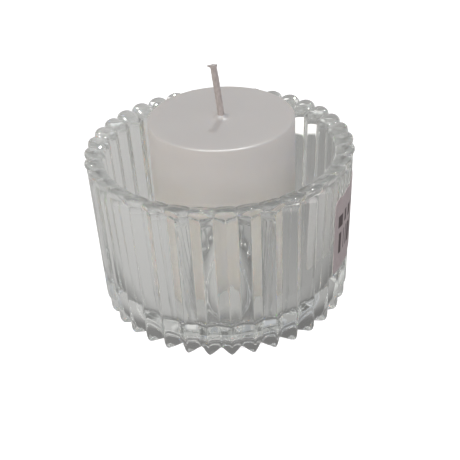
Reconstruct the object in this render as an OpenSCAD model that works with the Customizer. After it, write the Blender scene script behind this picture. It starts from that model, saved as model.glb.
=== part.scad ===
// Ribbed glass tealight holder with its candle.
// The cup stands on its foot ring. The origin is the centre of the foot, on the surface it
// stands on. +Z is up, +X is the side that carries the price label. Units are millimetres.

/* [Cup] */
// Height of the cup
cup_height = 45.8; // [38:0.2:60]
// Radius over the rib crests at the rim
rim_radius = 35.2; // [31:0.2:45]
// Radius over the rib crests at the base
base_radius = 34.2; // [28.5:0.1:45]
// Number of ribs around the cup
rib_count = 36; // [24:2:40]
// Depth of a rib, from its crest to the valley
rib_depth = 2.8; // [2:0.1:4]
// Width of the land on each crest, at the narrower end of the cup
crest_land = 0.4; // [0.3:0.05:1]
// Glass left between a valley and the inner wall, at the rim
rim_wall = 1.9; // [1:0.1:4]
// Glass left between a valley and the inner wall, at the floor
floor_wall = 2.3; // [1:0.1:4]
// Thickness of the floor, from the table to the surface the candle stands on
floor_thickness = 7; // [4:0.5:12]
// Radius of the round between the inner wall and the floor
floor_round = 3; // [1:0.5:5]
// Radius of the round on the inner edge of the rim
lip_round = 2.2; // [0.5:0.1:2.4]
// How far the fire-polished bead stands out past the crests
bead_proud = 0.4; // [0.1:0.05:0.8]
// Radius of the fire-polished bead
bead_radius = 2; // [1.5:0.1:2.5]
// How far the rib crests curve in at the base
base_round = 1.4; // [0.5:0.1:2]
// Height over which they curve in
base_round_height = 3.2; // [1:0.1:6]

/* [Foot] */
// Distance from the valleys at the base in to the foot ring
foot_inset = 2.1; // [0.5:0.1:4]
// Width of the foot ring
foot_width = 4; // [2:0.5:8]
// How far the foot ring stands below the rib ends
foot_height = 0.6; // [0.3:0.1:1.5]
// Depth of the hollow inside the foot ring
foot_hollow = 1.4; // [0.8:0.1:2.5]

/* [Candle] */
// Radius of the candle
candle_radius = 19.2; // [15:0.2:24]
// Height of the candle
candle_height = 46; // [20:0.2:60]
// Rounding of the candle's edges
candle_round = 0.8; // [0.3:0.1:2]
// Offset of the candle from the cup's axis, towards +X
candle_shift = 0.9; // [-3:0.1:3]
// Radius of the small wax cone that creeps up the wick
wick_cone_radius = 2; // [1.6:0.1:4]
// Height of that wax cone
wick_cone_height = 0.6; // [0.3:0.1:1.5]

/* [Wick] */
// Radius of the wick
wick_radius = 0.9; // [0.5:0.1:1.4]
// Length of the wick above the wax
wick_length = 14.4; // [12:0.2:25]
// Lean of the wick's tip towards -X, in degrees from upright
wick_lean = 11; // [1:0.5:20]

/* [Wick sustainer] */
// Radius of the thin metal tab
tab_radius = 8; // [5:0.5:12]
// Thickness of the tab's sheet metal
tab_sheet = 0.4; // [0.2:0.05:0.8]
// Wall of the crimped neck
neck_wall = 0.4; // [0.2:0.05:0.8]
// Height of the crimped neck above the tab
neck_height = 4; // [2:0.5:8]

/* [Price label] */
// Height of the paper label, along the wall
label_height = 22.5; // [10:0.5:24]
// How far the label's middle lies above the middle of the straight wall
label_rise = 3.4; // [-5:0.2:5]
// Direction of the label's front edge, in degrees from +X, anticlockwise seen from above
label_start = -37; // [-60:1:0]
// Angle that the label covers around the cup
label_sweep = 45; // [20:1:90]
// Thickness of the paper
label_sheet = 0.3; // [0.2:0.05:0.4]

/* [Hidden] */

$fn = 96;

// The ribs. One crest points at -Y, and the crests run on a cone from base to rim.
rib_pitch = 360 / rib_count;
crest_rise = rim_radius - base_radius;
crest_lean = atan(crest_rise / cup_height);

// A groove between two ribs is a straight V prism that leans with the crests.
narrow_radius = min(rim_radius, base_radius);
groove_half = narrow_radius * sin(rib_pitch / 2) - crest_land / 2;
groove_tip = 0.15;
groove_reach = 3;
groove_mouth = groove_tip + (groove_half - groove_tip) * (rib_depth + groove_reach) / rib_depth;
groove_length = cup_height / cos(crest_lean) + 2 * groove_reach;

// The inner wall, from the floor to the rim
inner_radius = rim_radius - rib_depth - rim_wall;
floor_radius = crest_radius(floor_thickness) - rib_depth - floor_wall;

// The bead rounds off the outer edge of the rim.
bead_centre = rim_radius + bead_proud - bead_radius;
bead_level = cup_height - bead_radius;
bead_foot = bead_level - bead_radius;

// The crests curve in below this level, and the wall is straight from here to the bead.
round_top = foot_height + base_round_height;

// The foot ring
foot_radius = base_radius - rib_depth - foot_inset;
hollow_radius = foot_radius - foot_width;

// The candle stands on the floor. The wick runs upright through it from the underside, and on as an arc.
wick_upright = candle_height + wick_cone_height;
wick_arc = (wick_length - wick_cone_height) * 180 / (PI * wick_lean);
neck_radius = wick_radius + neck_wall;

// Number of straight steps in each rounded corner that is drawn as points
round_steps = 6;

// Margin that lets a cut run clear through a face
cut = 1;

// Radius over the crests at height z
function crest_radius(z) = base_radius + crest_rise * z / cup_height;

// Points of an elliptical arc about [x, y] with half axes rx and ry, from angle a0 to angle a1
function arc(x, y, rx, ry, a0, a1) =
    [
        for (i = [0:round_steps])
            let (a = a0 + (a1 - a0) * i / round_steps)
                [x + rx * cos(a), y + ry * sin(a)]
    ];

// Half section of the cup before it is hollowed and its ribs are cut
module cup_blank() {
    polygon(concat(
        [[0, foot_height]],
        arc(crest_radius(round_top) - base_round, round_top, base_round, base_round_height, -90, 0),
        [[crest_radius(bead_level), bead_level], [bead_centre, bead_level]],
        [[bead_centre, cup_height], [0, cup_height]]
    ));
    translate([bead_centre, bead_level])
        circle(r = bead_radius);
    translate([hollow_radius, 0])
        square([foot_width, foot_height + cut]);
}

// Half section of the space inside the cup
module cup_cavity() {
    polygon(concat(
        [[0, floor_thickness]],
        arc(floor_radius - floor_round, floor_thickness + floor_round, floor_round, floor_round, -90, 0),
        arc(inner_radius + lip_round, cup_height - lip_round, lip_round, lip_round, 180, 90),
        [[inner_radius + lip_round, cup_height + cut], [0, cup_height + cut]]
    ));
}

// The V grooves between the ribs
module rib_grooves() {
    for (i = [0:rib_count - 1])
        rotate([0, 0, (i + 0.5) * rib_pitch - 90])
            translate([base_radius, 0, 0])
                rotate([0, crest_lean, 0])
                    translate([0, 0, -groove_reach])
                        linear_extrude(height = groove_length)
                            polygon([
                                [-rib_depth, -groove_tip],
                                [-rib_depth, groove_tip],
                                [groove_reach, groove_mouth],
                                [groove_reach, -groove_mouth]
                            ]);
}

module glass_holder() {
    color([0.82, 0.88, 0.86, 0.4])
        difference() {
            rotate_extrude()
                difference() {
                    cup_blank();
                    cup_cavity();
                    square([hollow_radius, foot_hollow]);
                }
            rib_grooves();
        }
}

// The paper lies on the crests, so its inside is the crest cone.
module price_label() {
    label_base = (round_top + bead_foot - label_height) / 2 + label_rise;
    label_top = label_base + label_height;
    low_radius = crest_radius(label_base);
    high_radius = crest_radius(label_top);
    color([0.72, 0.56, 0.64])
        rotate([0, 0, label_start])
            rotate_extrude(angle = label_sweep)
                polygon([
                    [low_radius, label_base],
                    [low_radius + label_sheet, label_base],
                    [high_radius + label_sheet, label_top],
                    [high_radius, label_top]
                ]);
}

// Moves what is drawn about the wick's axis to the candle's place on the floor
module on_floor() {
    translate([candle_shift, 0, floor_thickness])
        children();
}

module candle_wax() {
    color([0.93, 0.90, 0.86])
        on_floor()
            difference() {
                rotate_extrude()
                    union() {
                        square([candle_radius - candle_round, candle_height]);
                        translate([0, candle_round])
                            square([candle_radius, candle_height - 2 * candle_round]);
                        for (z = [candle_round, candle_height - candle_round])
                            translate([candle_radius - candle_round, z])
                                circle(r = candle_round);
                        polygon([
                            [0, candle_height],
                            [wick_cone_radius, candle_height],
                            [wick_radius, wick_upright],
                            [0, wick_upright]
                        ]);
                    }
                sustainer_shape();
                cylinder(r = wick_radius, h = wick_upright + cut);
            }
}

// Tab and neck, which the wax is cast around
module sustainer_shape() {
    cylinder(r = tab_radius, h = tab_sheet);
    cylinder(r = neck_radius, h = tab_sheet + neck_height);
}

module wick() {
    color([0.62, 0.52, 0.48])
        on_floor() {
            cylinder(r = wick_radius, h = wick_upright);
            translate([-wick_arc, 0, wick_upright])
                rotate([90, 0, 0])
                    rotate_extrude(angle = wick_lean)
                        translate([wick_arc, 0])
                            circle(r = wick_radius);
        }
}

module wick_sustainer() {
    color("silver")
        on_floor()
            difference() {
                sustainer_shape();
                translate([0, 0, -cut])
                    cylinder(r = wick_radius, h = tab_sheet + neck_height + 2 * cut);
            }
}

glass_holder();
price_label();
candle_wax();
wick();
wick_sustainer();
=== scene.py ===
"""Looks of the ribbed glass tealight holder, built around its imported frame.

Metres, +Z up, the cup's axis on Z. The frame's front is -Y, and the price label is on the +X side.
"""

import math

import bpy
import numpy as np
from mathutils import Matrix, Vector


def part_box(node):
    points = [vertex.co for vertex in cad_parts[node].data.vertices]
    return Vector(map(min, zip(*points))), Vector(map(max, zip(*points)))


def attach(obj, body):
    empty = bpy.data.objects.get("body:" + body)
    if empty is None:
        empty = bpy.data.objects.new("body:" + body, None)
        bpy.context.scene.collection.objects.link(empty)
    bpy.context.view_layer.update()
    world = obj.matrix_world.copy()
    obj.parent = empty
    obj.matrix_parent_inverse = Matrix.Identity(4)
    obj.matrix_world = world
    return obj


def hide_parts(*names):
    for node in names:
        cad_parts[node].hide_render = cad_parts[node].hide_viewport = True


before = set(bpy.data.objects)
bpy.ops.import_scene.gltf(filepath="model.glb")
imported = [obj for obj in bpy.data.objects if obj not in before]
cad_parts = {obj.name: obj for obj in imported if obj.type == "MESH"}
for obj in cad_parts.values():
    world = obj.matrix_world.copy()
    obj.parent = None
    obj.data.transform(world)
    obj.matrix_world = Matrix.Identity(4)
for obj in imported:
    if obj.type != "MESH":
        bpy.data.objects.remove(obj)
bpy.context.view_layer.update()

MM = 0.001

# ---------------------------------------------------------------- sizes, from the frame
CUP_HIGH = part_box("glass_holder")[1]
WAX_LOW, WAX_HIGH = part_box("candle_wax")
WICK_LOW, WICK_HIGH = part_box("wick")
LABEL_LOW, LABEL_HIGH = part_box("price_label")
TAB_LOW, TAB_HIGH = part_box("wick_sustainer")

CUP_HEIGHT = CUP_HIGH[2]
BEAD_OUT = CUP_HIGH[0]  # radius over the beads, the widest place
CUP_FLOOR = WAX_LOW[2] - 0.04 * MM  # height of the glass floor, with a hair of air under the candle
WAX_RADIUS = (WAX_HIGH[0] - WAX_LOW[0]) / 2
WAX_X = (WAX_HIGH[0] + WAX_LOW[0]) / 2
WICK_RADIUS = (WICK_HIGH[1] - WICK_LOW[1]) / 2
TAB_RADIUS = (TAB_HIGH[0] - TAB_LOW[0]) / 2
TAB_SHEET = 0.4 * MM  # thickness of the sustainer's tab

# ---------------------------------------------------------------- the glass cup's own shape
RIBS = 36
RIB_SAMPLES = 20  # points across one rib
BEAD_PROUD = 0.4 * MM  # how far the beads stand out past the crests
TAPER = 1.0 * MM  # how much narrower the crests are at the base
CREST_TOP = BEAD_OUT - BEAD_PROUD
CREST_BASE = CREST_TOP - TAPER
RIB_DEPTH = 2.45 * MM  # from crest to valley, up the wall
RIB_SHARP = 0.997  # 1 is a knife edge, 0 a sine wave
TOOTH_DEPTH = 3.1 * MM  # from crest to valley at the rib ends, over the table
TOOTH_SHARP = 0.90  # the rib ends are rounder than the ribs
TOOTH_TALL = 12 * MM  # height over which the rib ends run into the ribs

INNER_TOP = CREST_TOP - 4.7 * MM  # radius of the inner wall at the rim
INNER_FLOOR = CREST_BASE - 4.95 * MM  # and at the floor
FLOOR_ROUND = 3.0 * MM  # radius of the corner between the two

BEAD_ROUND = 1.35 * MM  # radius of a bead's outer side
BEAD_FOOT = 2.5 * MM  # how far below the rim's top a bead runs into its rib
GAP_ROUND = 0.8 * MM  # the same two in the gap between two beads
GAP_FOOT = 3.1 * MM
GAP_IN = 1.7 * MM  # how far the rim's outside steps in there
SCALLOP = 1.25 * MM  # how far the rim dips there
LIP_ROUND = 1.4 * MM  # radius of the smooth inner lip
LIP_DROP = 1.0 * MM  # how far the lip lies below the beads
LIP_WAVE = 0.4 * MM  # how far the beads still show in it

RIB_END = 0.6 * MM  # height of the rib ends above the table
RIB_END_EDGE = 0.45 * MM  # radius of their lower edge
END_CURVE_IN = 1.4 * MM  # how far the crests curve in towards the base
END_CURVE_TALL = 3.2 * MM  # and the height over which they do
CURVE_TOP = RIB_END + END_CURVE_TALL

FOOT_OUT = 29.3 * MM  # the foot ring
FOOT_IN = 25.3 * MM
FOOT_EDGE = 0.3 * MM
FOOT_HOLLOW = 1.4 * MM  # depth of the hollow inside it


def smooth_wave(phase, sharp):
    """1 on a rib crest, 0 in the valley, for phase in ribs. sharp near 1 gives straight facets."""
    return 0.5 + 0.5 * np.arcsin(sharp * np.cos(2 * np.pi * phase)) / math.asin(sharp)


def dome(phase):
    """1 on top of a bead, 0 in the notch between two beads: a row of round domes."""
    reach = 0.97  # share of the half circle that shows above the notch
    across = np.abs((phase + 0.5) % 1 - 0.5) * 2
    foot = math.sqrt(1 - reach**2)
    return (np.sqrt(1 - (reach * across) ** 2) - foot) / (1 - foot)


def mix(a, b, t):
    """a at t 0, b at t 1."""
    return a + (b - a) * t


def ease(t):
    """Smooth step from 0 to 1."""
    t = np.clip(t, 0.0, 1.0)
    return t * t * (3 - 2 * t)


def rib_phases():
    """Phases around the whole cup, closer together at crests and valleys, where the glass turns."""
    gather = 0.72  # 0 would space them evenly
    u = np.arange(RIB_SAMPLES) / RIB_SAMPLES
    u = u - gather * np.sin(4 * np.pi * u) / (4 * np.pi)
    return (np.arange(RIBS)[:, None] + u[None, :]).ravel()


def new_object(name, points, faces):
    """A mesh object in the scene."""
    mesh = bpy.data.meshes.new(name)
    mesh.from_pydata(points, [], faces)
    mesh.update()
    obj = bpy.data.objects.new(name, mesh)
    bpy.context.scene.collection.objects.link(obj)
    return obj


def revolved(name, rings, low_pole, high_pole):
    """Closed smooth body from rings of points, each an array (n, 3), capped by one point at each end."""
    count = len(rings[0])
    points = np.concatenate([np.array([low_pole])] + list(rings) + [np.array([high_pole])])
    last = 1 + (len(rings) - 1) * count
    faces = []
    for j in range(count):
        k = (j + 1) % count
        faces.append((0, 1 + k, 1 + j))
        for i in range(len(rings) - 1):
            a, b = 1 + i * count, 1 + (i + 1) * count
            faces.append((a + j, a + k, b + k, b + j))
        faces.append((last + j, last + k, len(points) - 1))
    obj = new_object(name, points.tolist(), faces)
    obj.data.shade_smooth()
    return obj


def circle_ring(radius, z, angles, x=0.0):
    """One ring of points about the upright line at x. radius and z may vary around it."""
    return np.stack([x + radius * np.cos(angles), radius * np.sin(angles), z + 0 * angles], axis=1)


def rounded(radius, z, size, first, last, steps):
    """Outline points of an arc of that size about (radius, z), from first to last in degrees."""
    angles = np.radians(np.linspace(first, last, steps))
    return [(radius + size * math.cos(a), z + size * math.sin(a)) for a in angles]


def crest_radius(z):
    """Radius over the rib crests at height z, below the beads."""
    return mix(CREST_BASE, CREST_TOP, z / CUP_HEIGHT)


def wall_radius(z, rib, tooth):
    """Radius of the ribbed wall at height z: round teeth low down, sharp ribs above."""
    groove = mix(TOOTH_DEPTH * (1 - tooth), RIB_DEPTH * (1 - rib), ease((z - RIB_END) / TOOTH_TALL))
    return crest_radius(z) - groove


def rib_end_radius(z, rib, tooth):
    """The same below CURVE_TOP, where the crests curve in."""
    drop = 1 - np.sqrt(np.clip(1 - ((CURVE_TOP - z) / END_CURVE_TALL) ** 2, 0, 1))
    return wall_radius(z, rib, tooth) - END_CURVE_IN * drop


def foot_outline():
    """Under the cup: the flat hollow, its round wall and the foot ring."""
    hollow = 0.96 * FOOT_IN
    outline = [(t * hollow, FOOT_HOLLOW) for t in (0.15, 0.4, 0.65, 0.85)]
    for a in np.radians(np.linspace(90, -90, 7)):
        height = mix(0.15 * MM, FOOT_HOLLOW, (1 + math.sin(a)) / 2)
        outline.append((hollow + FOOT_EDGE * math.cos(a), height))
    outline += [(FOOT_IN + 0.2 * MM, 0.0), (mix(FOOT_IN, FOOT_OUT, 0.5), 0.0)]
    return outline + rounded(FOOT_OUT - FOOT_EDGE, FOOT_EDGE, FOOT_EDGE, -90, 0, 4)


def rib_outline(rib, tooth, bead_low):
    """Out from the foot ring, round the rib ends and up the straight ribs to the beads."""
    start = RIB_END + RIB_END_EDGE
    first = rib_end_radius(start, rib, tooth) - RIB_END_EDGE
    outline = []
    for t in (0.12, 0.4, 0.75):
        height = mix(RIB_END_EDGE, RIB_END, min(1, t * 3))
        outline.append((mix(FOOT_OUT + 0.1 * MM, first, t), height))
    for a in np.radians(np.linspace(-90, -15, 6)):
        z = RIB_END + RIB_END_EDGE * (1 + math.sin(a))
        outline.append((rib_end_radius(z, rib, tooth) - RIB_END_EDGE * (1 - math.cos(a)), z))
    for t in (0.12, 0.25, 0.4, 0.6, 0.8, 1.0):
        z = mix(start, CURVE_TOP, t)
        outline.append((rib_end_radius(z, rib, tooth), z))
    for t in np.linspace(0, 1, 15)[1:]:
        z = mix(CURVE_TOP, bead_low, t)
        outline.append((wall_radius(z, rib, tooth), z))
    return outline


def rim_outline(wall, bead, bead_low):
    """Over the rim: the beads, each a small dome on its outer half, and the smooth lip inside them."""
    outer_round = mix(GAP_ROUND, BEAD_ROUND, bead)
    top = CUP_HEIGHT - SCALLOP * (1 - bead)
    out = BEAD_OUT - GAP_IN * (1 - bead)
    start, blend = math.radians(-48), math.radians(34)  # where a bead starts, and where it has left its rib
    outline = []
    for a in np.linspace(start, math.pi / 2, 17):
        radius = out - outer_round + outer_round * math.cos(a)
        z = top - outer_round + outer_round * math.sin(a)
        t = ease((a - start) / blend)
        outline.append((mix(wall, radius, t), mix(bead_low, z, t)))
    crown = INNER_TOP + LIP_ROUND
    lip_top = CUP_HEIGHT - LIP_DROP - LIP_WAVE * (1 - bead)
    for t in (0.3, 0.55, 0.8):
        outline.append((mix(out - outer_round, crown, t), mix(top, lip_top, t)))
    return outline + rounded(crown, lip_top - LIP_ROUND, LIP_ROUND, 90, 180, 10)


def inside_outline():
    """Down the inner wall, round the corner and in over the floor."""
    wall_top = CUP_HEIGHT - LIP_DROP - LIP_ROUND - 0.6 * MM
    wall_low = CUP_FLOOR + FLOOR_ROUND
    corner = INNER_FLOOR - FLOOR_ROUND
    outline = []
    for t in np.linspace(0, 1, 9)[1:]:
        outline.append((mix(INNER_TOP, INNER_FLOOR, t), mix(wall_top, wall_low, t)))
    outline += rounded(corner, wall_low, FLOOR_ROUND, 0, -90, 9)[1:]
    return outline + [(t * corner, CUP_FLOOR) for t in (0.8, 0.55, 0.3, 0.12)]


def make_glass():
    """The pressed glass cup, one closed body from the middle of its underside to the middle of its floor."""
    phase = rib_phases()
    angles = 2 * np.pi * phase / RIBS - math.pi / 2
    rib = smooth_wave(phase, RIB_SHARP)
    tooth = smooth_wave(phase, TOOTH_SHARP)
    bead = dome(phase)
    bead_low = CUP_HEIGHT - mix(GAP_FOOT, BEAD_FOOT, bead)
    outline = foot_outline() + rib_outline(rib, tooth, bead_low)
    outline += rim_outline(wall_radius(bead_low, rib, tooth), bead, bead_low) + inside_outline()
    rings = [circle_ring(radius, z, angles) for radius, z in outline]
    cup = revolved("glass_cup", rings, (0, 0, FOOT_HOLLOW), (0, 0, CUP_FLOOR))
    cup.data.materials.append(glass_material())
    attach(cup, "holder")
    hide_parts("glass_holder")


# ---------------------------------------------------------------- materials
def new_material(name):
    """A material with its node tree, its Principled shader and its output."""
    material = bpy.data.materials.new(name)
    material.use_nodes = True
    nodes = material.node_tree.nodes
    nodes.clear()
    output = nodes.new("ShaderNodeOutputMaterial")
    shader = nodes.new("ShaderNodeBsdfPrincipled")
    material.node_tree.links.new(shader.outputs["BSDF"], output.inputs["Surface"])
    return material, shader, output


def set_inputs(node, **values):
    """Sets a node's inputs by name, with _ for a space."""
    for key, value in values.items():
        node.inputs[key.replace("_", " ")].default_value = value


def add_node(material, kind, **values):
    """A node of that kind, with its inputs set."""
    node = material.node_tree.nodes.new(kind)
    set_inputs(node, **values)
    return node


def link(material, source, target):
    """Joins two sockets."""
    material.node_tree.links.new(source, target)


def object_axes(material):
    """Sockets X, Y and Z of the place in object space."""
    place = add_node(material, "ShaderNodeTexCoord")
    axes = add_node(material, "ShaderNodeSeparateXYZ")
    link(material, place.outputs["Object"], axes.inputs["Vector"])
    return axes.outputs


def object_noise(material, scale, detail=3.0, stretch=(1, 1, 1)):
    """Socket with noise in object space, stretched along the axes."""
    place = add_node(material, "ShaderNodeTexCoord")
    mapping = add_node(material, "ShaderNodeMapping", Scale=stretch)
    noise = add_node(material, "ShaderNodeTexNoise", Scale=scale, Detail=detail, Roughness=0.5)
    link(material, place.outputs["Object"], mapping.inputs["Vector"])
    link(material, mapping.outputs["Vector"], noise.inputs["Vector"])
    return noise.outputs["Fac"]


def tint(material, source, dark, light, low=0.3, high=0.7):
    """Socket with a colour that runs from dark to light as the source runs from low to high."""
    node = add_node(material, "ShaderNodeValToRGB")
    elements = node.color_ramp.elements
    while len(elements) > 1:
        elements.remove(elements[-1])
    elements[0].position, elements[0].color = low, (*dark, 1)
    elements.new(high).color = (*light, 1)
    link(material, source, node.inputs["Fac"])
    return node.outputs["Color"]


def bump(material, shader, height, strength, distance):
    """Fine relief on the shader's normal."""
    node = add_node(material, "ShaderNodeBump", Strength=strength, Distance=distance)
    link(material, height, node.inputs["Height"])
    link(material, node.outputs["Normal"], shader.inputs["Normal"])


def gentle(tree, source, low, high, at_low, at_high):
    """Soft step of a value: at_low below low, at_high above high."""
    node = tree.nodes.new("ShaderNodeMapRange")
    node.interpolation_type = "SMOOTHSTEP"
    set_inputs(node, From_Min=low, From_Max=high, To_Min=at_low, To_Max=at_high)
    tree.links.new(source, node.inputs["Value"])
    return node.outputs["Result"]


def combine(tree, operation, a, b):
    """Output of a Math node on two sockets or numbers."""
    node = tree.nodes.new("ShaderNodeMath")
    node.operation = operation
    for socket, value in zip(node.inputs, (a, b)):
        if isinstance(value, (int, float)):
            socket.default_value = value
        else:
            tree.links.new(value, socket)
    return node.outputs["Value"]


def glass_material():
    """Clear pressed glass, faintly grey-green through its thickness, with the soft ripple of fire polish."""
    material, shader, output = new_material("clear_glass")
    set_inputs(shader, Base_Color=(0.99, 0.992, 0.988, 1), Roughness=0.02)
    set_inputs(shader, Transmission_Weight=1.0, IOR=1.51)
    ripple = object_noise(material, 140.0, 2.0, (1, 1, 0.25))
    bump(material, shader, ripple, 0.25, 0.2 * MM)
    volume = add_node(material, "ShaderNodeVolumeAbsorption", Color=(0.86, 0.91, 0.86, 1), Density=5.0)
    link(material, volume.outputs["Volume"], output.inputs["Volume"])
    return material


def wax_material():
    """Candle wax, slightly see-through at its edges. Painted light: lighter and warmer lower down, darker and
    greyer at the top, standing in for the light that reaches the lower wax through the glass.
    """
    material, shader, _ = new_material("candle_wax")
    cloud = object_noise(material, 60.0, 4.0)
    blend = add_node(material, "ShaderNodeMix")
    blend.data_type = "RGBA"
    # painted light: between these heights the wax tone runs from a lighter, warmer lower tone to a darker
    # grey top tone
    painted_lit_below, painted_shade_above = WAX_HIGH[2] - 26 * MM, WAX_HIGH[2] - 4 * MM
    height = gentle(material.node_tree, object_axes(material)["Z"], painted_lit_below, painted_shade_above, 0.0, 1.0)
    painted_lit_tone = tint(material, cloud, (0.88, 0.835, 0.765), (0.90, 0.855, 0.79))
    grey = tint(material, cloud, (0.735, 0.69, 0.66), (0.76, 0.72, 0.69))
    link(material, height, blend.inputs["Factor"])
    link(material, painted_lit_tone, blend.inputs["A"])
    link(material, grey, blend.inputs["B"])
    link(material, blend.outputs["Result"], shader.inputs["Base Color"])
    set_inputs(shader, Roughness=0.42, IOR=1.43)
    set_inputs(shader, Subsurface_Weight=0.3, Subsurface_Scale=1.0)
    set_inputs(shader, Subsurface_Radius=(3 * MM, 2.4 * MM, 1.8 * MM))
    bump(material, shader, object_noise(material, 900.0, 2.0), 0.08, 0.1 * MM)
    return material


def wick_material():
    """Waxed braided cotton, brownish grey."""
    material, shader, _ = new_material("wick_cotton")
    fibre = object_noise(material, 2500.0, 3.0, (1, 1, 0.3))
    colour = tint(material, fibre, (0.42, 0.36, 0.34), (0.62, 0.55, 0.52), 0.25, 0.75)
    link(material, colour, shader.inputs["Base Color"])
    set_inputs(shader, Roughness=0.6)
    bump(material, shader, fibre, 0.5, 0.1 * MM)
    return material


def tab_material():
    """Thin tinned steel, lightly brushed."""
    material, shader, _ = new_material("tab_metal")
    scratch = object_noise(material, 700.0, 3.0, (1, 0.05, 1))
    colour = tint(material, scratch, (0.45, 0.45, 0.46), (0.66, 0.66, 0.67))
    link(material, colour, shader.inputs["Base Color"])
    set_inputs(shader, Metallic=1.0, Roughness=0.32)
    bump(material, shader, scratch, 0.15, 0.1 * MM)
    return material


def paper_material():
    """Mauve-grey sticker paper with a slight fibre and plain printed bars in two rows."""
    material, shader, _ = new_material("label_paper")
    tree = material.node_tree
    axes = object_axes(material)
    tall = LABEL_HIGH[2] - LABEL_LOW[2]

    def between(value, low, high):
        """1 where the value lies between low and high."""
        above = combine(tree, "GREATER_THAN", value, low)
        return combine(tree, "MULTIPLY", above, combine(tree, "LESS_THAN", value, high))

    def bar_row(width, share, low, high):
        """A row of bars of that width, a share of them printed, from low to high up the label."""
        cell = combine(tree, "FLOOR", combine(tree, "DIVIDE", axes["Y"], width), 0.0)
        chance = tree.nodes.new("ShaderNodeTexWhiteNoise")
        chance.noise_dimensions = "1D"
        link(material, cell, chance.inputs["W"])
        printed = combine(tree, "LESS_THAN", chance.outputs["Value"], share)
        row = between(axes["Z"], LABEL_LOW[2] + low * tall, LABEL_LOW[2] + high * tall)
        return combine(tree, "MULTIPLY", printed, row)

    rows = combine(tree, "MAXIMUM", bar_row(0.55 * MM, 0.5, 0.24, 0.52), bar_row(1.3 * MM, 0.6, 0.60, 0.76))
    margins = between(axes["Y"], LABEL_LOW[1] + 2.0 * MM, LABEL_HIGH[1] - 3.0 * MM)
    fibre = object_noise(material, 1200.0, 4.0)
    ink = add_node(material, "ShaderNodeMix")
    ink.data_type = "RGBA"
    ink.inputs["B"].default_value = (0.10, 0.07, 0.07, 1)
    link(material, combine(tree, "MULTIPLY", rows, margins), ink.inputs["Factor"])
    link(material, tint(material, fibre, (0.52, 0.43, 0.43), (0.59, 0.50, 0.50)), ink.inputs["A"])
    link(material, ink.outputs["Result"], shader.inputs["Base Color"])
    set_inputs(shader, Roughness=0.62)
    bump(material, shader, fibre, 0.2, 0.1 * MM)
    return material


def backing_material():
    """The label's pale sticky side, which shows through the glass."""
    material, shader, _ = new_material("label_backing")
    cloud = object_noise(material, 400.0)
    colour = tint(material, cloud, (0.86, 0.85, 0.84), (0.90, 0.89, 0.88))
    link(material, colour, shader.inputs["Base Color"])
    set_inputs(shader, Roughness=0.5)
    bump(material, shader, cloud, 0.2, 0.1 * MM)
    return material


# ---------------------------------------------------------------- the candle and the label
def make_candle():
    """The wax body: rounded edges, a slightly dished top, a low rise round the wick, a recess for the tab."""
    angles = np.linspace(0, 2 * np.pi, 145)[:-1]
    edge = 0.45 * MM
    gap = 0.03 * MM  # air around the tab
    low, high = WAX_LOW[2], WAX_HIGH[2] - 0.6 * MM
    recess = TAB_RADIUS + gap
    inside = low + TAB_SHEET + gap
    outline = [(0.3 * recess, inside), (recess, inside), (recess, low), (1.02 * recess, low)]
    outline += [(mix(TAB_RADIUS, WAX_RADIUS, 0.5), low), (WAX_RADIUS - 1.5 * edge, low)]
    outline += rounded(WAX_RADIUS - edge, low + edge, edge, -90, 0, 7)
    outline += [(WAX_RADIUS, mix(low + edge, high - edge, t)) for t in np.linspace(0, 1, 12)[1:-1]]
    outline += rounded(WAX_RADIUS - edge, high - edge, edge, 0, 90, 9)
    for t in (0.9, 0.75, 0.6, 0.45, 0.3, 0.2, 0.15):
        outline.append((WAX_RADIUS * t, high - 0.12 * MM * (1 - t * t)))
    for radius, rise in ((2.2, -0.10), (1.8, 0.0), (1.4, 0.2), (1.1, 0.45), (0.9, 0.58)):
        outline.append((radius * MM, high + rise * MM))
    rings = [circle_ring(radius, z, angles, WAX_X) for radius, z in outline]
    candle = revolved("candle", rings, (WAX_X, 0, inside), (WAX_X, 0, outline[-1][1]))
    candle.data.materials.append(wax_material())
    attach(candle, "candle")
    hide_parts("candle_wax")


def make_label():
    """The paper label: flat from crest to crest, with rounded corners and slightly lifted ends."""
    reach = LABEL_HIGH[0]
    first, last = math.asin(LABEL_LOW[1] / reach), math.asin(LABEL_HIGH[1] / reach)
    across, up = 91, 25  # points along the paper and up it
    corner = 1.6 * MM
    outside, inside = 0.16 * MM, 0.04 * MM  # distance of the paper's two sides from the crests
    pitch = 2 * math.pi / RIBS
    points = []
    for side in (outside, inside):
        for angle in np.linspace(first, last, across):
            edge = min(angle - first, last - angle) * reach
            cut = corner - math.sqrt(max(0.0, corner**2 - max(0.0, corner - edge) ** 2))
            lift = 0.10 * MM * (1 - ease(edge / (3 * MM)))
            crest = (angle + math.pi / 2) / pitch
            flat = math.cos(pitch / 2) / math.cos((crest - math.floor(crest) - 0.5) * pitch)
            for z in np.linspace(LABEL_LOW[2] + cut, LABEL_HIGH[2] - cut, up):
                radius = crest_radius(z) * flat + side + lift
                points.append((radius * math.cos(angle), radius * math.sin(angle), z))
    count = across * up
    fronts, backs = [], []
    for i in range(across - 1):
        for j in range(up - 1):
            a, b = i * up + j, (i + 1) * up + j
            fronts.append((a, b, b + 1, a + 1))
            backs.append((count + a, count + a + 1, count + b + 1, count + b))
    rim = [i * up for i in range(across)] + [(across - 1) * up + j for j in range(1, up)]
    rim += [i * up + up - 1 for i in range(across - 2, -1, -1)] + list(range(up - 2, 0, -1))
    sides = [(a, count + a, count + b, b) for a, b in zip(rim, rim[1:] + rim[:1])]
    label = new_object("paper_label", points, fronts + sides + backs)
    for polygon in label.data.polygons[len(fronts) + len(sides):]:
        polygon.material_index = 1
    label.data.materials.append(paper_material())
    label.data.materials.append(backing_material())
    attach(label, "holder")
    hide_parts("price_label")


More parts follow.
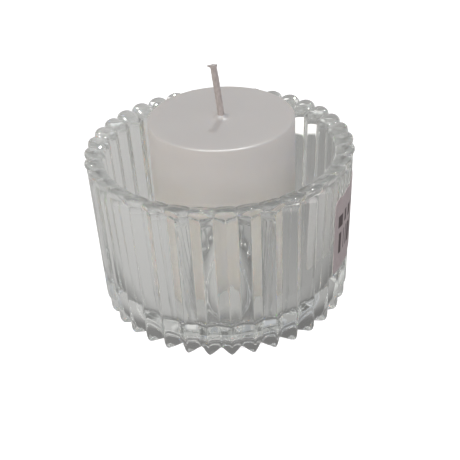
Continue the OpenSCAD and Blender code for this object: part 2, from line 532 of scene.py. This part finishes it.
def make_wick():
    """The braided wick: two crossing strands pressed in wax, a lean to the left and a cut, frayed tip."""
    wax_top = WAX_HIGH[2]
    tip = WICK_HIGH[2] - 0.25 * MM
    lean = (WICK_LOW[0] + WICK_RADIUS) - WAX_X
    braid_pitch = 3.4 * MM
    angles = np.linspace(0, 2 * np.pi, 33)[:-1]
    hidden = np.linspace(WICK_LOW[2], wax_top - 1.0 * MM, 24)
    shown = np.linspace(wax_top - 0.9 * MM, tip, 84)
    rings = []
    for z in np.concatenate([hidden, shown]):
        rise = np.clip((z - wax_top) / (tip - wax_top), 0, 1)
        centre = WAX_X + lean * rise**1.15
        twist = 2 * np.pi * z / braid_pitch
        braid = np.maximum(np.sin(2 * angles + twist), np.sin(2 * angles - twist))
        flare = ease((rise - 0.93) / 0.07)  # the cut end spreads
        waist = ease((rise - 0.75) / 0.15) * (1 - flare)  # and just below it the wick is thinner
        radius = WICK_RADIUS * 0.93 * (1 + 0.16 * flare - 0.06 * waist) * (1 + 0.045 * braid)
        fray = ease((rise - 0.955) / 0.035) * np.clip(-np.cos(angles), 0, 1) ** 6  # threads on the left
        slant = 0.25 * MM * rise * np.cos(angles + 1.2)  # of the cut
        rings.append(circle_ring(radius + 0.55 * MM * fray, z + slant, angles, centre))
    rings.append(circle_ring(WICK_RADIUS * 0.55, tip + 0.05 * MM, angles, WAX_X + lean))
    wick = revolved("wick_cord", rings, (WAX_X, 0, WICK_LOW[2]), (WAX_X + lean, 0, tip - 0.1 * MM))
    wick.data.materials.append(wick_material())
    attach(wick, "candle")
    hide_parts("wick")


# ---------------------------------------------------------------- the floor, the light and the camera
FLOOR_LEFT, FLOOR_RIGHT = 0.57, 0.265  # painted glow of the table that the glass sees, left and right of the cup
UNDER_FOOT = 1.08  # share of that light inside the foot ring, a painted pool of light under the foot
UNDER_CUP = 0.47  # share of it in the ring of shade around the foot
FOOT_SHADE = (27 * MM, 32 * MM)  # radii between which the shade begins
SHADE_END = (36 * MM, 48 * MM)  # radii between which it ends
SHADE_BACK = 8 * MM  # how far the middle of the shade lies towards the back
GLOW_PATCH_LIGHT = 1.0  # a painted bright patch on the table behind the cup, on the right, which only the glass sees
GLOW_PATCH_EDGE = (108 * MM, 111 * MM)  # how far back its front edge lies, at the cup's middle
GLOW_PATCH_SLANT = 0.5  # how much nearer that edge lies for each metre to the right

ROOM_LEFT, ROOM_RIGHT = 0.78, 0.54  # light of the room's walls
ROOM_WARM, ROOM_COOL = (1.0, 0.99, 0.975, 1), (0.95, 0.98, 1.04, 1)  # their colour, left and right
SKY_TOP = 0.45  # share of the room's light that comes from straight above
SOFT_LIGHT = 0.6  # one broad soft light in front
SOFT_FROM = (0.0, -0.85, 0.45)

LAMPS = {"lamp_left": (-0.30, -0.30), "lamp_back": (0.05, 0.45), "lamp_right": (0.28, -0.30)}
LAMP_HEIGHT = 0.9
LAMP_SIZE = 0.06
LAMP_POWER = 16.0


def table_light(material):
    """Socket with the painted glow of the table top as the glass sees it: greys brighter on the left, a pool
    of light under the foot, a ring of shade around it and a bright patch behind the cup.
    """
    tree = material.node_tree
    axes = object_axes(material)
    place = add_node(material, "ShaderNodeTexCoord")
    nearer = tree.nodes.new("ShaderNodeVectorMath")
    nearer.operation = "ADD"
    nearer.inputs[1].default_value = (0, -SHADE_BACK, 0)
    link(material, place.outputs["Object"], nearer.inputs[0])
    distance = tree.nodes.new("ShaderNodeVectorMath")
    distance.operation = "LENGTH"
    link(material, nearer.outputs["Vector"], distance.inputs[0])
    # painted light and shade: greys brighter on the left, a pool of light under the foot and a ring of shade
    # around it
    across = gentle(tree, axes["X"], -0.12, 0.12, FLOOR_LEFT, FLOOR_RIGHT)
    inner = gentle(tree, distance.outputs["Value"], *FOOT_SHADE, UNDER_FOOT, UNDER_CUP)
    outer = gentle(tree, distance.outputs["Value"], *SHADE_END, 0.0, 1.0 - UNDER_CUP)
    near = combine(tree, "MULTIPLY", across, combine(tree, "ADD", inner, outer))
    # painted light: a bright patch on the table behind the cup, on the right
    slant = combine(tree, "ADD", axes["Y"], combine(tree, "MULTIPLY", axes["X"], GLOW_PATCH_SLANT))
    right = gentle(tree, axes["X"], 0.0, 0.01, 0.0, GLOW_PATCH_LIGHT)
    glow_patch = combine(tree, "MULTIPLY", gentle(tree, slant, *GLOW_PATCH_EDGE, 0.0, 1.0), right)
    return combine(tree, "ADD", near, glow_patch)


def make_floor():
    """A pale table top, near white to the camera, that glows with painted light for all other rays: soft
    greys, a painted pool of light under the foot, a painted shade around the cup and a painted bright patch
    behind it.
    """
    half = 1.5
    corners = [(-half, -half, 0), (half, -half, 0), (half, half, 0), (-half, half, 0)]
    floor = new_object("floor", corners, [(0, 1, 2, 3)])
    material, shader, output = new_material("pale_floor")
    set_inputs(shader, Base_Color=(0.35, 0.35, 0.35, 1), Roughness=0.7)
    set_inputs(shader, Emission_Color=(1, 1, 1, 1), Emission_Strength=0.85)
    soft = add_node(material, "ShaderNodeEmission", Color=(1.0, 0.995, 0.975, 1))
    link(material, table_light(material), soft.inputs["Strength"])
    rays = add_node(material, "ShaderNodeLightPath")
    chooser = add_node(material, "ShaderNodeMixShader")
    link(material, rays.outputs["Is Camera Ray"], chooser.inputs["Fac"])
    link(material, soft.outputs["Emission"], chooser.inputs[1])
    link(material, shader.outputs["BSDF"], chooser.inputs[2])
    link(material, chooser.outputs["Shader"], output.inputs["Surface"])
    floor.data.materials.append(material)


def make_world():
    """Soft studio light: a pale room, brighter on the left, one broad soft light in front, white backdrop."""
    world = bpy.data.worlds.new("studio")
    bpy.context.scene.world = world
    world.use_nodes = True
    tree = world.node_tree
    nodes, links = tree.nodes, tree.links
    room = nodes["Background"]
    place = nodes.new("ShaderNodeTexCoord")
    axes = nodes.new("ShaderNodeSeparateXYZ")
    links.new(place.outputs["Generated"], axes.inputs["Vector"])
    side = gentle(tree, axes.outputs["X"], -0.8, 0.8, ROOM_LEFT, ROOM_RIGHT)
    toward = nodes.new("ShaderNodeVectorMath")
    toward.operation = "DOT_PRODUCT"
    toward.inputs[1].default_value = Vector(SOFT_FROM).normalized()
    links.new(place.outputs["Generated"], toward.inputs[0])
    soft = gentle(tree, toward.outputs["Value"], 0.45, 0.98, 0.0, SOFT_LIGHT)
    overhead = gentle(tree, axes.outputs["Z"], 0.3, 0.9, 1.0, SKY_TOP)
    strength = combine(tree, "MULTIPLY", combine(tree, "ADD", side, soft), overhead)
    links.new(strength, room.inputs["Strength"])
    colour = nodes.new("ShaderNodeMix")
    colour.data_type = "RGBA"
    colour.inputs["A"].default_value = ROOM_WARM
    colour.inputs["B"].default_value = ROOM_COOL
    links.new(gentle(tree, axes.outputs["X"], -0.4, 0.8, 0.0, 1.0), colour.inputs["Factor"])
    links.new(colour.outputs["Result"], room.inputs["Color"])
    backdrop = nodes.new("ShaderNodeBackground")
    backdrop.inputs["Color"].default_value = (1, 1, 1, 1)
    rays = nodes.new("ShaderNodeLightPath")
    chooser = nodes.new("ShaderNodeMixShader")
    links.new(rays.outputs["Is Camera Ray"], chooser.inputs["Fac"])
    links.new(room.outputs["Background"], chooser.inputs[1])
    links.new(backdrop.outputs["Background"], chooser.inputs[2])
    links.new(chooser.outputs["Shader"], nodes["World Output"].inputs["Surface"])


def make_lamps():
    """Three small lamps overhead that put sparkles on the glass, all turned to the top of the cup."""
    for name, (x, y) in LAMPS.items():
        data = bpy.data.lights.new(name, "AREA")
        data.shape = "DISK"
        data.size = LAMP_SIZE
        data.energy = LAMP_POWER
        lamp = bpy.data.objects.new(name, data)
        lamp.location = (x, y, LAMP_HEIGHT)
        ray = Vector((0, 0, 50 * MM)) - lamp.location
        lamp.rotation_euler = ray.to_track_quat("-Z", "Y").to_euler()
        lamp.visible_diffuse = False
        bpy.context.scene.collection.objects.link(lamp)


def make_camera():
    """The main viewpoint: from in front and above, close, with a slight roll."""
    distance = 0.2396  # from the middle of the rim, just under the beads' tops
    rise = math.radians(27.51)  # how steeply the camera looks across the rim
    around = math.radians(-0.775)  # how far round to the left it stands
    yaw, pitch, roll = math.radians(0.47), math.radians(32.78), math.radians(-2.88)
    rim_middle = Vector((0, 0, CUP_HEIGHT - 1.76 * MM))
    place = Vector((0, -distance * math.cos(rise), distance * math.sin(rise)))
    forward = Vector((math.sin(yaw) * math.cos(pitch), math.cos(yaw) * math.cos(pitch), -math.sin(pitch)))
    level = forward.cross(Vector((0, 0, 1))).normalized()
    upright = level.cross(forward)
    right = level * math.cos(roll) + upright * math.sin(roll)
    up = upright * math.cos(roll) - level * math.sin(roll)
    data = bpy.data.cameras.new("camera")
    data.sensor_width = 36
    data.lens = 70.61
    data.clip_start = 0.01
    camera = bpy.data.objects.new("camera", data)
    turn = Matrix.Rotation(around, 3, "Z")
    axes = Matrix((right, up, -forward)).transposed()
    camera.matrix_world = Matrix.Translation(rim_middle + turn @ place) @ (turn @ axes).to_4x4()
    bpy.context.scene.collection.objects.link(camera)
    bpy.context.scene.camera = camera


def dress_tab():
    """A metal material for the wick's sustainer, whose CAD shape stays as it is."""
    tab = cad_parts["wick_sustainer"]
    tab.data.materials.clear()
    tab.data.materials.append(tab_material())


make_camera()
make_floor()
make_world()
make_lamps()
make_glass()
make_candle()
make_wick()
make_label()
dress_tab()

scene = bpy.context.scene
scene.view_settings.view_transform = "Standard"
scene.cycles.max_bounces = 32
scene.cycles.transmission_bounces = 32
scene.cycles.glossy_bounces = 32
